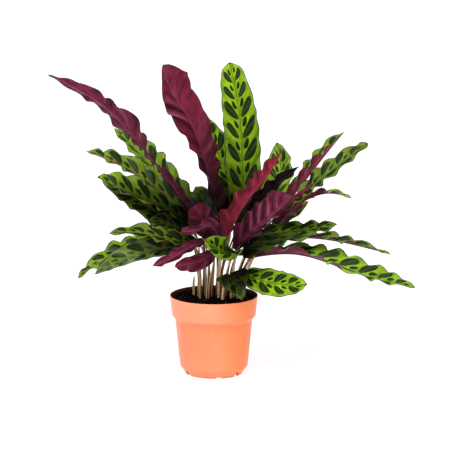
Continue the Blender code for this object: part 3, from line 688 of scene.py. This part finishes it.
def stalkMaterial(p):
    material, tree, shader = startMaterial("stalkSkin", Roughness=0.45, Specular_IOR_Level=0.06)
    share, lengthMm, seed = parts(tree, "stalkMap")
    straw, olive, around = parts(tree, "stalkTone")
    shade, _, _ = parts(tree, "stalkShade")
    blotch = noise(tree, vectorOf(tree, times(tree, lengthMm, 0.035), times(tree, around, 3.0), seed), 2.0, 4)
    streak = noise(tree, vectorOf(tree, times(tree, lengthMm, 0.02), times(tree, around, 14.0), seed), 2.0)
    fromFoot = maths(tree, "ADD", lengthMm, times(tree, straw, 25))
    colour = layers(
        tree, p["tan"],
        (softStep(tree, blotch, 0.35, 0.65), 1, p["pink"]),
        (straw, 1, p["straw"]),
        (times(tree, olive, softStep(tree, share, 0.05, 0.6)), 1, p["olive"]),
        (softStep(tree, streak, 0.52, 0.72), 0.60, p["brownAndShade"]),
        (softStep(tree, streak, 0.42, 0.25), 0.35, p["straw"]),
        (softStep(tree, straw, 0.45, 0.1), 0.72, p["brownAndShade"]),
        # painted shade towards the foot near the soil; stalks that lean to straw get less of it
        (fade(tree, fromFoot, 6.0, 34.0), 0.8, p["brownAndShade"]),
        (softStep(tree, share, 0.86, 0.97), 0.55, p["olive"]),
        # painted light: each stalk is dull along its right side and pale along its left, as if lit from the
        # left; on the rolled pieces the same value runs round the roll, so the dull coat darkens them towards
        # the free edge
        (softStep(tree, around, 0.15, 0.9), 0.85, p["brownAndShade"]),      # painted shade along the right side
        (softStep(tree, around, -0.05, -0.7), 0.70, p["straw"]),      # and a painted highlight along the left
        (shade, 1, p["shadow"]))
    tree.links.new(colour, shader.inputs["Base Color"])
    bumpInto(tree, shader, streak, 0.6, 0.4)
    return material


def stalkPath(leaf, foot, look):
    # Cubic curve from the soil into the blade's line: (1-t)^3 a + 3t(1-t)^2 b + 3t^2(1-t) c + t^3 d,
    # with one more point sunk in the soil below it.
    _, along, _ = naturalSpline(leaf["rib"], 2)
    start = np.array([foot[0], foot[1], look["soilTop"]])
    end = np.array(leaf["rib"][0], float) + along[0] * look["overlap"]
    reach = np.linalg.norm(end - start)
    knots = (start, start + (0, 0, look["rise"] * reach), end - along[0] * look["bend"] * reach, end)
    t = np.linspace(0, 1, int(reach / look["rowStep"]) + 3)[:, None]
    weights = ((1 - t)**3, 3 * t * (1 - t)**2, 3 * t * t * (1 - t), t**3)
    path = sum(weight * knot for weight, knot in zip(weights, knots))
    path = np.concatenate([[start - (0, 0, look["sunk"])], path])
    return path, np.concatenate([[[0.0]], t]), reach + look["sunk"]


def stalkTube(leaf, foot, straw, olive, seed, look):
    # The radius thins upwards as (1 - t)^taper, swells in the sheath at the foot and in the joint below
    # the blade, and has shallow lengthwise ribs and the lap of the sheath.
    path, t, length = stalkPath(leaf, foot, look)
    back = look["backShade"] * np.clip((path[:, 1] - look["backStart"]) / look["backReach"], 0, 1)
    shade = np.maximum(clumpShade(path, clump), back)[:, None]
    lengthMm = np.concatenate([[0.0], np.cumsum(np.linalg.norm(np.diff(path, axis=0), axis=1))])[:, None]
    swing = [wave(tau * t[:, 0] * turns + seed) for wave, turns in zip((np.sin, np.cos), look["swayTurns"])]
    path = path + np.clip(np.sin(math.pi * t), 0, 1) * look["sway"] * np.stack([*swing, 0 * t[:, 0]], axis=1)
    radius = look["topRadius"] + (look["footRadius"] - look["topRadius"]) * (1 - t) ** look["taper"]
    sheathTop = look["sheathLength"] + look["sheathVaries"] * math.sin(seed)
    sheath = 1 / (1 + np.exp((lengthMm - sheathTop) / look["sheathEdge"]))
    joint = look["jointSwell"] * np.exp(-((length - lengthMm) / look["jointLength"])**2)
    radius = (radius * (1 + look["sheathSwell"] * sheath + joint))[:, 0]
    radius[-1] *= look["topTuck"]
    angle = np.arange(look["sides"]) * tau / look["sides"]
    lap = look["sheathLap"] * sheath * np.cos(angle + seed)
    shape = 1 + look["ribDepth"] * np.cos(look["ribs"] * angle + seed) + lap
    maps = dict(stalkMap=(t, lengthMm, seed), stalkTone=(straw, olive, np.cos(angle)),
                stalkShade=(shade, 0, 0))
    maps = {name: gridMap(shape.shape, *values) for name, values in maps.items()}
    return tubeRings(path, radius, look["sides"], shape), path[0], path[-1], maps


def makeStalks(number, carried, foot, straw, olive, material, look):
    # Two stalks from one foot start footSpread away from it, each on the side that it leans to.
    roots = np.array([leaves[name]["rib"][0][:2] for name in carried], float)
    tubes = []
    for order, (name, lean) in enumerate(zip(carried, roots - roots.mean(axis=0))):
        start = np.array(foot) + unit(lean) * look["footSpread"]
        seed = int(number) * 1.7 + order * 2.3
        tubes.append(stalkTube(leaves[name], start, straw, olive, seed, look))
    makeTubes("stalks_" + number, tubes, material, "stem_" + number)


stalkSkin = stalkMaterial(stalkLook)
for number, stalk in stalks.items():
    makeStalks(number, *stalk, stalkSkin, stalkLook)
print("stalks:", len(stalks))


# Each young piece is a blade still rolled round itself: marks say where along it each radius holds.
rolledLeaf = dict(line=[(12, 24, 118), (12, 24, 121.3), (14, 15, 170), (23, -5, 215), (27, -15, 246)],
                  radii=(1.8, 1.7, 1.5, 3.4, 0.5), marks=(0, 0.25, 0.5, 0.78, 1), twist=1.5, lap=0.22,
                  sides=24, rows=90, straw=0.45, olive=0.6, seed=5.1)
shootTip = dict(line=[(-32, 26, 117), (-32, 26, 121.3), (-32, 26, 143), (-31, 27, 151)],
                radii=(2.4, 2.3, 1.5, 0.35), marks=(0, 0.35, 0.8, 1), twist=0.3, lap=0.16,
                sides=20, rows=40, straw=0.75, olive=0, seed=8.4)


def spearTube(p):
    # Radius * (1 + lap * (edge - 1/2)): edge goes from 0 to 1 round the spear and twists along it,
    # and the step where it starts again is the free edge of the roll.
    path, _, length = naturalSpline(p["line"], p["rows"])
    t = np.linspace(0, 1, p["rows"])
    edge = (np.arange(p["sides"]) / p["sides"] + p["twist"] * t[:, None]) % 1.0
    rings = tubeRings(path, np.interp(t, p["marks"], p["radii"]), p["sides"], 1 + p["lap"] * (edge - 0.5))
    maps = dict(stalkMap=gridMap(edge.shape, t[:, None], t[:, None] * length, p["seed"]),
                stalkTone=gridMap(edge.shape, p["straw"], p["olive"], edge))
    return rings, path[0], path[-1], maps


makeTubes("rolledLeaf", [spearTube(rolledLeaf)], stalkSkin, "young_leaf")
makeTubes("shootTip", [spearTube(shootTip)], stalkSkin, "young_shoot")
print("young growth: 2")


potShape = dict(
    rim=(70.0, 126.0), bandFoot=(66.7, 94.0), ledge=(61.4, 88.0), heel=(53.8, 12.0), foot=(46.5, 2.5),
    wall=1.5, floor=5.0, underside=3.0, ring=2.0,            # ring: width of the foot ring
    hub=8.0, rowStep=3.0, segments=240,                      # grid: first ring at the middle, mm between rows
    notches=((-41, 7, 8), (-80, 10, 2), (-148, 7, 8)),       # direction, width, height; each has one opposite
    band=(0.90, 0.250, 0.125), bandPale=(0.94, 0.290, 0.150), wallColour=(0.90, 0.200, 0.080),
    wallPale=(0.94, 0.235, 0.105), warmLitColour=(0.90, 0.200, 0.036), speck=(0.98, 0.48, 0.30),
    scratch=(1.0, 0.62, 0.45), innerWallDark=(0.012, 0.006, 0.004), footDark=(0.45, 0.13, 0.06),
    bandFrom=(84, 96), warmLitSide=(-10, 70), footDarkSpan=(0, 10),          # where one colour gives way to another
    lipWall=(0.103, 57.02),                  # the band's outer radius is 57.02 + 0.103 * height
    innerDarkDepth=(0.9, 1.3), innerDarkFrom=(108, 112), innerDarkTo=(126.5, 124.5))


def potProfile(p):
    # (radius, height) from the middle of the underside, up the outside, over the lip and down the inside.
    # A corner is (radius, height, rounding), and its curve is (1-t)^2 a + 2t(1-t) corner + t^2 b.
    (rimR, rimH), (bandR, bandH), (ledgeR, ledgeH) = p["rim"], p["bandFoot"], p["ledge"]
    (heelR, heelH), (footR, footH) = p["heel"], p["foot"]
    wall, underside, floor = p["wall"], p["underside"], p["floor"]
    ringR = footR - p["ring"]
    corners = [(ringR - 1.2, underside, 0.2), (ringR - 0.5, 0.0, 0.3), (footR - 0.5, 0.0, 0.35),
               (footR, footH, 0.8), (heelR, heelH, 1.6), (ledgeR, ledgeH, 0.8), (bandR, bandH, 0.7),
               (rimR, rimH, 0.75), (rimR - wall, rimH, 0.7), (bandR - wall, bandH + 1, 1.0),
               (ledgeR - wall, ledgeH + 1, 1.0), (heelR - wall, heelH + 1, 1.5), (footR - 0.5, floor, 0.8)]
    spots = np.array([(0.0, underside)] + [corner[:2] for corner in corners] + [(0.0, floor)])
    out = [np.array([[p["hub"], underside]])]
    for i, (_, _, rounding) in enumerate(corners, start=1):
        before, here, after = spots[i - 1], spots[i], spots[i + 1]
        cut = min(rounding, 0.45 * np.linalg.norm(before - here), 0.45 * np.linalg.norm(after - here))
        a, b = here + unit(before - here) * cut, here + unit(after - here) * cut
        t = np.linspace(0, 1, 6)[:, None]
        out.append((1 - t)**2 * a + 2 * t * (1 - t) * here + t**2 * b)
    rough = np.concatenate(out + [np.array([[p["hub"], floor]])])
    # long straight runs get rows every few millimetres, so that the wall is shaded evenly
    counts = np.ceil(np.linalg.norm(np.diff(rough, axis=0), axis=1) / p["rowStep"]).astype(int)
    fine = [rough[i] + (rough[i + 1] - rough[i]) * (np.arange(n) / n)[:, None] for i, n in enumerate(counts)]
    return np.concatenate(fine + [rough[-1:]])


def makePot(p, material):
    # The profile turned round the middle: (radius cos turn, radius sin turn, height). In a notch the foot is
    # pushed up to the notch's ceiling, which slopes down towards the middle.
    profile = potProfile(p)
    (footR, footH), (heelR, heelH) = p["foot"], p["heel"]
    spans = [(heading + turn, math.degrees(math.asin(width / 2 / footR)), height)
             for heading, width, height in p["notches"] for turn in (0, 180)]
    edges = [middle + side * reach + step
             for middle, reach, _ in spans for side in (-1, 1) for step in (-0.05, 0.05)]
    angles = np.concatenate([np.arange(p["segments"]) * 360.0 / p["segments"], np.array(edges) % 360])
    angles = np.unique(np.round(angles, 4))
    ceiling = np.zeros(len(angles))
    for middle, reach, top in spans:
        ceiling = np.where(np.abs((angles - middle + 180) % 360 - 180) < reach, top, ceiling)
    radius, height = (np.repeat(profile[:, i:i + 1], len(angles), axis=1) for i in (0, 1))
    outside = np.arange(len(profile)) <= np.argmax(profile[:, 1])
    low = (outside & (profile[:, 0] > footR - p["ring"] - 1.3))[:, None] & (height < ceiling)
    onWall = low & (height > 0.6)
    edgeR = np.interp(np.maximum(ceiling, footH), (footH, heelH), (footR, heelR))
    innerR = footR - p["ring"] - 1.0
    share = np.clip((radius - innerR) / (edgeR - innerR), 0, 1)
    slope = np.minimum(p["underside"], ceiling) + share * np.maximum(ceiling - p["underside"], 0)
    height = np.where(low, np.maximum(height, slope), height)
    radius, height = np.where(onWall, edgeR, radius), np.where(onWall, ceiling, height)
    turn = np.radians(angles)
    rings = np.stack([radius * np.cos(turn), radius * np.sin(turn), height], axis=-1)
    surface = loftSurface(rings, (0, 0, p["underside"]), (0, 0, p["floor"]))
    finishPiece(makePiece("nurseryPot", *surface, [material], sharp=35), "pot")


def potMaterial(p):
    material, tree, shader = startMaterial("terracottaPlastic", Roughness=0.36, Specular_IOR_Level=0.45)
    coords = place(tree, "ShaderNodeTexCoord").outputs["Object"]
    x, _, z = split(tree, coords)

    def stepMm(value, low, high):
        return softStep(tree, value, low * mm, high * mm)

    cloudy = noise(tree, coords, 14, 4)
    speck = noise(tree, coords, 900, 2)
    mottle = softStep(tree, cloudy, 0.35, 0.65)
    # hairline scratches: thin bands where a stretched noise crosses a level, in patches
    stretch = place(tree, "ShaderNodeMapping", {0: coords, 2: (0.3, 0.5, 0.2), 3: (9, 9, 2.2)}).outputs[0]
    offLevel = maths(tree, "ABSOLUTE", maths(tree, "SUBTRACT", noise(tree, stretch, 3.0, 1), 0.5))
    patch = softStep(tree, noise(tree, coords, 22, 2), 0.55, 0.62)
    scratch = times(tree, fade(tree, offLevel, 0.0006, 0.0024), patch)
    # the wall inside the lip is darkened near black, from a little below the soil's edge to just under the
    # rim;
    # depth is how far a place lies inside the band's outer wall
    level = place(tree, "ShaderNodeVectorMath", {0: coords, 1: (1, 1, 0)}, operation="MULTIPLY").outputs[0]
    radius = place(tree, "ShaderNodeVectorMath", {0: level}, operation="LENGTH").outputs["Value"]
    slope, start = p["lipWall"]
    depth = maths(tree, "SUBTRACT", maths(tree, "MULTIPLY_ADD", z, slope, start * mm), radius)
    innerDark = times(tree, stepMm(depth, *p["innerDarkDepth"]), stepMm(z, *p["innerDarkFrom"]))
    innerDark = times(tree, innerDark, stepMm(z, *p["innerDarkTo"]))
    colour = layers(
        tree, tint(tree, mottle, p["wallColour"], p["wallPale"]),
        (stepMm(z, *p["bandFrom"]), 1, tint(tree, mottle, p["band"], p["bandPale"])),
        (stepMm(x, *p["warmLitSide"]), 1, p["warmLitColour"]),      # painted warm light: the +x side is painted a more saturated orange
        (softStep(tree, speck, 0.55, 0.8), 0.12, p["speck"]),
        (scratch, 0.55, p["scratch"]),
        (innerDark, 0.93, p["innerWallDark"]),
        # darker towards the bottom of the foot
        (maths(tree, "SUBTRACT", 1, stepMm(z, *p["footDarkSpan"])), 0.35, p["footDark"]))
    tree.links.new(colour, shader.inputs["Base Color"])
    rough = maths(tree, "MULTIPLY_ADD", cloudy, 0.16, 0.28)
    tree.links.new(maths(tree, "MULTIPLY_ADD", scratch, 0.2, rough), shader.inputs["Roughness"])
    bumpInto(tree, shader, maths(tree, "MULTIPLY_ADD", speck, 0.4, times(tree, scratch, -1.0)), 0.35, 0.08)
    return material


makePot(potShape, potMaterial(potShape))
print("pot: 1")


soilLook = dict(
    top=120.4, edge=68.0, rings=120, sides=220, middle=0.004,
    wall=((45.3, 5.3), (51.6, 13.0), (59.3, 89.0), (64.5, 95.0), (67.4, 114.0)),      # radius and height
    lumps=((2.6, 13, 3), (1.0, 4.2, 4), (0.4, 1.9, 5)),      # height, width and random seed of each size
    lumpGain=0.75, drop=2.2, dropFrom=0.9,                   # the drop at the wall, from a share of the edge
    peat=(0.002, 0.0010, 0.0008), peatLight=(0.014, 0.0065, 0.004), barkColour=(0.07, 0.032, 0.016),
    fleckDark=(0.34, 0.22, 0.12), fleck=(0.62, 0.48, 0.30))

# What lies on the peat: sizes and squash of the pieces, how far they stand up and how far out they spread.
scattered = dict(
    peatCrumbs=dict(count=620, sizes=(0.7, 2.6), squash=(1, 1, 0.8), lift=0.3, spread=0.93, seed=11),
    barkChips=dict(count=34, sizes=(1.2, 3.2), squash=(1.5, 0.8, 0.35), lift=0.15, spread=0.93, seed=12),
    paleFlecks=dict(count=26, sizes=(0.5, 1.4), squash=(1.2, 0.9, 0.6), lift=0.5, spread=0.95, seed=13))
rootlets = dict(count=90, rows=9, sides=5, spread=0.9, limit=0.95, lengths=(5, 15), bends=(-2.2, 2.2),
                radii=(0.14, 0.34), lift=0.5, arch=(0, 1.2), seed=18)


def latticeNoise(x, y, cell, seed):
    # Smooth random field: values on a square lattice blended with 3t^2 - 2t^3.
    table = np.random.default_rng(seed).uniform(-1, 1, (64, 64))
    gx, gy = x / cell + 1000, y / cell + 1000
    ix, iy = np.floor(gx).astype(int), np.floor(gy).astype(int)
    fx, fy = gx - ix, gy - iy
    fx, fy = fx * fx * (3 - 2 * fx), fy * fy * (3 - 2 * fy)
    a, b = table[ix % 64, iy % 64], table[(ix + 1) % 64, iy % 64]
    c, d = table[ix % 64, (iy + 1) % 64], table[(ix + 1) % 64, (iy + 1) % 64]
    return (a * (1 - fx) + b * fx) * (1 - fy) + (c * (1 - fx) + d * fx) * fy


def soilHeight(x, y, p):
    # Level top plus three sizes of lump, dropping at the wall.
    lumps = sum(height * latticeNoise(x, y, cell, seed) for height, cell, seed in p["lumps"])
    outer = np.clip((np.hypot(x, y) / p["edge"] - p["dropFrom"]) / 0.1, 0, 1)
    return p["top"] + lumps * p["lumpGain"] - p["drop"] * outer


def makeSoil(p, material):
    # A disc of rings whose height is soilHeight, closed by the pot's inner outline below it.
    share = np.linspace(1, p["middle"], p["rings"])[:, None]
    angle = np.arange(p["sides"]) * tau / p["sides"]
    x, y = share * p["edge"] * np.cos(angle), share * p["edge"] * np.sin(angle)
    top = np.stack([x, y, soilHeight(x, y, p)], axis=-1)
    wall = np.array([[r * np.cos(angle), r * np.sin(angle), np.full_like(angle, z)] for r, z in p["wall"]])
    centre = (0, 0, float(soilHeight(0.0, 0.0, p)))
    surface = loftSurface(np.concatenate([wall.swapaxes(1, 2), top]), (0, 0, p["wall"][0][1]), centre)
    finishPiece(makePiece("pottingSoil", *surface, [material], sharp=60), "soil")


def pebble(rows, sides, rng, dent=0.25):
    # A rough ball: unit rings with random dents.
    polar = np.linspace(0, math.pi, rows + 2)[1:-1][:, None]
    turn = np.arange(sides)[None, :] * tau / sides
    dents = 1 + dent * rng.uniform(-1, 1, (rows, sides, 1))
    rings = gridMap((rows, sides), np.sin(polar) * np.cos(turn), np.sin(polar) * np.sin(turn), np.cos(polar))
    return loftSurface(rings * dents, (0, 0, 1), (0, 0, -1))


def scatter(name, p, soil, material):
    # Copies of one pebble at random places on the soil, each with its own size and turn.
    rng = np.random.default_rng(p["seed"])
    count = p["count"]
    points, quads, triangles = pebble(rows=4, sides=7, rng=rng)
    far = np.sqrt(rng.uniform(0, 1, count)) * soil["edge"] * p["spread"]
    turn = rng.uniform(0, tau, count)
    size = rng.uniform(*p["sizes"], count) * rng.uniform(0.5, 1, count)
    shapes = points * (np.array(p["squash"]) * rng.uniform(0.75, 1.25, (count, 1, 3))) * size[:, None, None]
    spin = unit(rng.normal(size=(count, 4)))            # a random quaternion each: v + 2 q x (q x v + w v)
    axis, w = spin[:, None, 1:], spin[:, :1, None]
    shapes = shapes + 2 * np.cross(axis, np.cross(axis, shapes) + w * shapes)
    x, y = far * np.cos(turn), far * np.sin(turn)
    placed = shapes + np.stack([x, y, soilHeight(x, y, soil) + size * p["lift"]], -1)[:, None]
    offsets = (np.arange(count) * len(points))[:, None, None]
    piece = makePiece(name, placed.reshape(-1, 3), (quads + offsets).reshape(-1, 4),
                      (triangles + offsets).reshape(-1, 3), [material], sharp=60)
    finishPiece(piece, None)


def makeRootlets(p, soil, material):
    # Short bent rootlets: each heading turns steadily by its own bend, and x, y are its running sums.
    rng = np.random.default_rng(p["seed"])
    count, rows = p["count"], p["rows"]
    far = np.sqrt(rng.uniform(0, 1, count)) * soil["edge"] * p["spread"]
    turn, heading = rng.uniform(0, tau, (2, count))
    length, bend = rng.uniform(*p["lengths"], count), rng.uniform(*p["bends"], count)
    t = np.linspace(-0.5, 0.5, rows)
    heading = heading[:, None] + bend[:, None] * t
    x = (far * np.cos(turn))[:, None] + np.cumsum(np.cos(heading), 1) * (length / rows)[:, None]
    y = (far * np.sin(turn))[:, None] + np.cumsum(np.sin(heading), 1) * (length / rows)[:, None]
    inside = np.minimum(1, p["limit"] * soil["edge"] / np.maximum(np.hypot(x, y), 1))
    x, y = x * inside, y * inside
    z = soilHeight(x, y, soil) + p["lift"] + rng.uniform(*p["arch"], (count, 1)) * np.cos(math.pi * t)
    paths = np.stack([x, y, z], axis=-1)
    tubes = [(tubeRings(path, np.full(rows, radius), p["sides"]), path[0], path[-1], {})
             for path, radius in zip(paths, rng.uniform(*p["radii"], count))]
    makeTubes("rootlets", tubes, material, None)


def earthMaterial(name, dark, light, scale, roughness):
    # Light earth over dark where a coarse noise and one six times finer are high.
    material, tree, shader = startMaterial(name, Roughness=roughness, Specular_IOR_Level=0.05)
    coords = place(tree, "ShaderNodeTexCoord").outputs["Object"]
    coarse = noise(tree, coords, scale, 5, 0.65)
    grain = noise(tree, coords, scale * 6, 4, 0.7)
    colour = layers(
        tree, dark,
        (softStep(tree, coarse, 0.45, 0.75), 1, light),
        (softStep(tree, grain, 0.60, 0.80), 0.5, light))
    tree.links.new(colour, shader.inputs["Base Color"])
    bumpInto(tree, shader, maths(tree, "ADD", coarse, grain), 0.9, 0.6)
    return material


peat = earthMaterial("peat", soilLook["peat"], soilLook["peatLight"], scale=260, roughness=0.92)
bark = earthMaterial("barkChip", soilLook["peatLight"], soilLook["barkColour"], scale=320, roughness=0.85)
fleck = earthMaterial("paleFleck", soilLook["fleckDark"], soilLook["fleck"], scale=420, roughness=0.8)
makeSoil(soilLook, peat)
for (name, pieces), material in zip(scattered.items(), (peat, bark, fleck)):
    scatter(name, pieces, soilLook, material)
makeRootlets(rootlets, soilLook, bark)
print("soil: 5")


studio = dict(
    floorRadius=30, floorSides=96, floorColour=(0.30, 0.30, 0.30), floorGlow=0.86, worldStrength=0.36,
    lights=dict(sunLight=dict(place=(-1.2, -2.2, 3.6), spread=24, strength=3.3),
                fillSunLight=dict(place=(2.0, -3.0, 0.9), spread=50, strength=0.75),
                glossLight=dict(place=(0.6, -1.6, 2.2), size=1.0, power=10)),
    aim=(0.0, 0.0, 0.25), target=(0.0177, 0.0, 0.2386), cameraDistance=4.0, cameraRise=11.3,
    lens=202.88, sensor=36, clip=(0.1, 60))


def makeFloor(p):
    # A flat disc of radius floorRadius with floorSides corners.
    sides = p["floorSides"]
    angle = np.arange(sides) * tau / sides
    points = np.stack([np.cos(angle), np.sin(angle), 0 * angle], axis=-1) * p["floorRadius"]
    mesh = bpy.data.meshes.new("paleFloor")
    mesh.from_pydata(points.tolist(), [], [list(range(sides))])
    paper, _, _ = startMaterial("floorPaper", Roughness=0.9, Specular_IOR_Level=0.1,
                                Base_Color=(*p["floorColour"], 1), Emission_Color=(1, 1, 1, 1),
                                Emission_Strength=p["floorGlow"])
    mesh.materials.append(paper)
    floor = bpy.data.objects.new("paleFloor", mesh)
    bpy.context.scene.collection.objects.link(floor)


def addLight(name, light, aim):
    # A light with a size shines from a disc; one with a spread is a sun seen as a wide disc.
    data = bpy.data.lights.new(name, "AREA" if "size" in light else "SUN")
    if "size" in light:
        data.shape, data.size, data.energy = "DISK", light["size"], light["power"]
    else:
        data.angle, data.energy = math.radians(light["spread"]), light["strength"]
    lamp = bpy.data.objects.new(name, data)
    lamp.location = light["place"]
    x, y, z = np.array(aim) - np.array(light["place"])
    lamp.rotation_euler = (math.atan2(math.hypot(x, y), -z), 0, math.atan2(y, x) - math.pi / 2)
    bpy.context.scene.collection.objects.link(lamp)


def addCamera(p):
    # The camera stands in front of the target, cameraRise degrees above it, and looks straight at it.
    rise, distance = math.radians(p["cameraRise"]), p["cameraDistance"]
    x, _, z = p["target"]
    data = bpy.data.cameras.new("frontCamera")
    data.lens, data.sensor_width = p["lens"], p["sensor"]
    data.clip_start, data.clip_end = p["clip"]
    camera = bpy.data.objects.new("frontCamera", data)
    camera.location = (x, -distance * math.cos(rise), z + distance * math.sin(rise))
    camera.rotation_euler = (math.pi / 2 - rise, 0, 0)
    bpy.context.scene.collection.objects.link(camera)
    bpy.context.scene.camera = camera


makeFloor(studio)
for name, light in studio["lights"].items():
    addLight(name, light, studio["aim"])
addCamera(studio)
world = bpy.data.worlds.new("studioWorld")
world.use_nodes = True
background = world.node_tree.nodes["Background"]
background.inputs["Color"].default_value = (1, 1, 1, 1)
background.inputs["Strength"].default_value = studio["worldStrength"]
bpy.context.scene.world = world
bpy.context.scene.view_settings.view_transform = "Standard"
print("studio ready")
